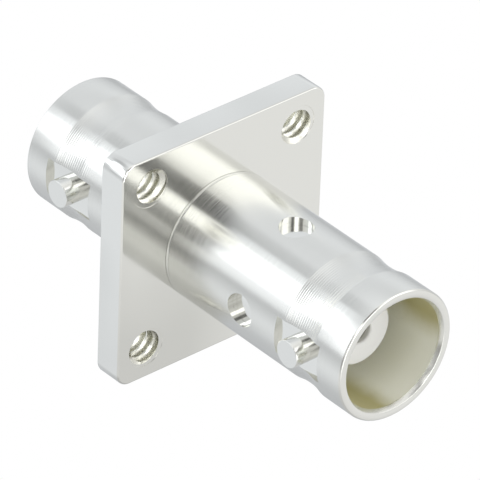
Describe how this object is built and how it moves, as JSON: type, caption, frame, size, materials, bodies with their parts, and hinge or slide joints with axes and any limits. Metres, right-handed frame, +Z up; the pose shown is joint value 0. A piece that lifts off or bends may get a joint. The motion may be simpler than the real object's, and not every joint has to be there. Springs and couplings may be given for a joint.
{
  "type": "rf coaxial connector",
  "caption": "Feed-through coaxial adapter: a square panel flange with drilled corners and a bayonet jack standing from each face, each with a white insulator and a split centre socket.",
  "frame": {"origin": "centre of the flange's front face, on the connector's axis", "axes": "+Y along the connector's axis from the long front jack to the short rear jack; +Z up; the bayonet studs lie along X"},
  "size_m": [0.0174, 0.0323, 0.0174],
  "materials": {
    "silver_plate": "bright silver plate over turned brass",
    "white_insulator": "turned white fluoropolymer, matt and slightly waxy",
    "contact_plate": "silver plate over spring copper alloy"
  },
  "bodies": {
    "root": {"flange_body": "silver_plate", "front_barrel": "silver_plate", "front_left_stud": "silver_plate", "front_right_stud": "silver_plate", "rear_left_stud": "silver_plate", "rear_right_stud": "silver_plate", "front_insulator": "white_insulator", "rear_insulator": "white_insulator", "centre_bead": "white_insulator", "front_contact": "contact_plate", "rear_contact": "contact_plate"}
  },
  "joints": []
}
